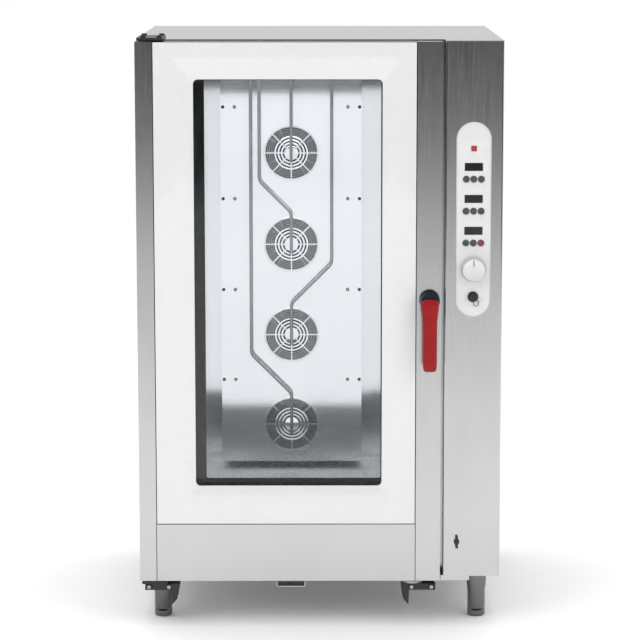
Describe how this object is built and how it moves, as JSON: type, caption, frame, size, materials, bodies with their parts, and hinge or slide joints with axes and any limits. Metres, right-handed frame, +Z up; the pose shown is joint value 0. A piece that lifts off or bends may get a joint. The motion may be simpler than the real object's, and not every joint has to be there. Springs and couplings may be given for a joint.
{
  "type": "combi steamer oven",
  "caption": "Tall floor-standing combi steamer oven with a glazed hinged door, fans behind a baffle, and a control column with knob and buttons.",
  "frame": {"origin": "on the floor, under the middle of the overall box", "axes": "+X to the right of someone facing the oven, +Y to the back, +Z up"},
  "size_m": [1.16, 1.101, 1.904],
  "materials": {
    "brushed_steel": "vertical brushed stainless",
    "liner_steel": "bright polished stainless",
    "black_metal": "black, satin",
    "pane_glass": "clear toughened glass",
    "seal_rubber": "black silicone",
    "wool": "mineral wool",
    "motor_paint": "cast, satin",
    "heater_steel": "heat-tinted",
    "lamp_glass": "frosted lamp glass",
    "brass_fitting": "bare",
    "gland_plastic": "black nylon",
    "board": "circuit board",
    "contactor": "grey moulded",
    "handle_dark": "dark blue-black",
    "handle_red": "red, satin",
    "panel_white": "white, smooth",
    "display_black": "black window",
    "lamp_red": "red lens",
    "button_grey": "dark grey",
    "knob_metal": "satin silver",
    "cap_rubber": "black"
  },
  "bodies": {
    "root": {"base_tray": "brushed_steel", "foot_sleeves": "brushed_steel", "side_panel_left": "brushed_steel", "side_panel_right": "brushed_steel", "back_panel": "brushed_steel", "top_cover": "brushed_steel", "front_frame": "brushed_steel", "door_seal": "seal_rubber", "chamber_liner": "liner_steel", "chamber_floor": "liner_steel", "insulation": "wool", "air_baffle": "liner_steel", "fan_grilles": "liner_steel", "fan_motors": "motor_paint", "heating_elements": "heater_steel", "injector_pipes": "liner_steel", "chamber_lamps": "lamp_glass", "drain_pipe": "brushed_steel", "steam_vent": "brushed_steel", "water_inlet": "brass_fitting", "cable_gland": "gland_plastic", "contactor_rail": "contactor", "hinge_brackets": "black_metal", "docking_hooks": "black_metal", "drip_spout": "brushed_steel", "column_front": "brushed_steel", "control_panel": "panel_white", "control_board": "board", "displays": "display_black", "power_lamp": "lamp_red", "probe_socket": "black_metal"},
    "door": {"door_stile_hinge": "brushed_steel", "door_stile_handle": "brushed_steel", "door_lower_panel": "brushed_steel", "door_top_rail": "brushed_steel", "outer_glass": "pane_glass", "inner_glass": "pane_glass"},
    "handle": {"handle_boss": "handle_dark", "handle_lever": "handle_red", "latch_hook": "brushed_steel"},
    "fan_1": {"fan_wheel_1": "liner_steel"},
    "fan_2": {"fan_wheel_2": "liner_steel"},
    "fan_3": {"fan_wheel_3": "liner_steel"},
    "fan_4": {"fan_wheel_4": "liner_steel"},
    "knob": {"control_knob": "knob_metal"},
    "button_1_1_body": {"button_1_1": "button_grey"},
    "button_1_2_body": {"button_1_2": "button_grey"},
    "button_1_3_body": {"button_1_3": "button_grey"},
    "button_2_1_body": {"button_2_1": "button_grey"},
    "button_2_2_body": {"button_2_2": "button_grey"},
    "button_2_3_body": {"button_2_3": "button_grey"},
    "button_3_1_body": {"button_3_1": "button_grey"},
    "button_3_2_body": {"button_3_2": "button_grey"},
    "button_3_3_body": {"button_3_3": "button_grey"},
    "probe_cap_body": {"probe_cap": "cap_rubber"},
    "service_latch_body": {"service_latch": "black_metal"},
    "foot_front_left_body": {"foot_front_left": "brushed_steel"},
    "foot_front_right_body": {"foot_front_right": "brushed_steel"},
    "foot_back_left_body": {"foot_back_left": "brushed_steel"},
    "foot_back_right_body": {"foot_back_right": "brushed_steel"}
  },
  "joints": [
    {"name": "door_hinge", "type": "hinge", "parent": "root", "child": "door", "pos_m": [-0.554, -0.4585, 1], "axis": [0, 0, -1], "range_deg": [0, 135]},
    {"name": "handle_turn", "type": "hinge", "parent": "door", "child": "handle", "pos_m": [0.3495, -0.4845, 1.067], "axis": [0, 1, 0], "range_deg": [0, 90]},
    {"name": "fan_1_spin", "type": "hinge", "parent": "root", "child": "fan_1", "pos_m": [-0.097, 0.2155, 0.532], "axis": [0, 1, 0], "continuous": true},
    {"name": "fan_2_spin", "type": "hinge", "parent": "root", "child": "fan_2", "pos_m": [-0.097, 0.2155, 0.846], "axis": [0, 1, 0], "continuous": true},
    {"name": "fan_3_spin", "type": "hinge", "parent": "root", "child": "fan_3", "pos_m": [-0.097, 0.2155, 1.16], "axis": [0, 1, 0], "continuous": true},
    {"name": "fan_4_spin", "type": "hinge", "parent": "root", "child": "fan_4", "pos_m": [-0.097, 0.2155, 1.474], "axis": [0, 1, 0], "continuous": true},
    {"name": "knob_turn", "type": "hinge", "parent": "root", "child": "knob", "pos_m": [0.487, -0.4885, 1.1695], "axis": [0, -1, 0], "continuous": true},
    {"name": "button_1_1_press", "type": "slide", "parent": "root", "child": "button_1_1_body", "axis": [0, 1, 0], "range_m": [0, 0.0015], "stiffness_N_per_m": 400, "springref_m": -0.001},
    {"name": "button_1_2_press", "type": "slide", "parent": "root", "child": "button_1_2_body", "axis": [0, 1, 0], "range_m": [0, 0.0015], "stiffness_N_per_m": 400, "springref_m": -0.001},
    {"name": "button_1_3_press", "type": "slide", "parent": "root", "child": "button_1_3_body", "axis": [0, 1, 0], "range_m": [0, 0.0015], "stiffness_N_per_m": 400, "springref_m": -0.001},
    {"name": "button_2_1_press", "type": "slide", "parent": "root", "child": "button_2_1_body", "axis": [0, 1, 0], "range_m": [0, 0.0015], "stiffness_N_per_m": 400, "springref_m": -0.001},
    {"name": "button_2_2_press", "type": "slide", "parent": "root", "child": "button_2_2_body", "axis": [0, 1, 0], "range_m": [0, 0.0015], "stiffness_N_per_m": 400, "springref_m": -0.001},
    {"name": "button_2_3_press", "type": "slide", "parent": "root", "child": "button_2_3_body", "axis": [0, 1, 0], "range_m": [0, 0.0015], "stiffness_N_per_m": 400, "springref_m": -0.001},
    {"name": "button_3_1_press", "type": "slide", "parent": "root", "child": "button_3_1_body", "axis": [0, 1, 0], "range_m": [0, 0.0015], "stiffness_N_per_m": 400, "springref_m": -0.001},
    {"name": "button_3_2_press", "type": "slide", "parent": "root", "child": "button_3_2_body", "axis": [0, 1, 0], "range_m": [0, 0.0015], "stiffness_N_per_m": 400, "springref_m": -0.001},
    {"name": "button_3_3_press", "type": "slide", "parent": "root", "child": "button_3_3_body", "axis": [0, 1, 0], "range_m": [0, 0.0015], "stiffness_N_per_m": 400, "springref_m": -0.001},
    {"name": "probe_cap_pull", "type": "slide", "parent": "root", "child": "probe_cap_body", "axis": [0, -1, 0], "range_m": [0, 0.02]},
    {"name": "service_latch_turn", "type": "hinge", "parent": "root", "child": "service_latch_body", "pos_m": [0.441, -0.4845, 0.28], "axis": [0, 1, 0], "range_deg": [0, 90]},
    {"name": "foot_front_left_extend", "type": "slide", "parent": "root", "child": "foot_front_left_body", "axis": [0, 0, -1], "range_m": [0, 0.03]},
    {"name": "foot_front_right_extend", "type": "slide", "parent": "root", "child": "foot_front_right_body", "axis": [0, 0, -1], "range_m": [0, 0.03]},
    {"name": "foot_back_left_extend", "type": "slide", "parent": "root", "child": "foot_back_left_body", "axis": [0, 0, -1], "range_m": [0, 0.03]},
    {"name": "foot_back_right_extend", "type": "slide", "parent": "root", "child": "foot_back_right_body", "axis": [0, 0, -1], "range_m": [0, 0.03]}
  ]
}
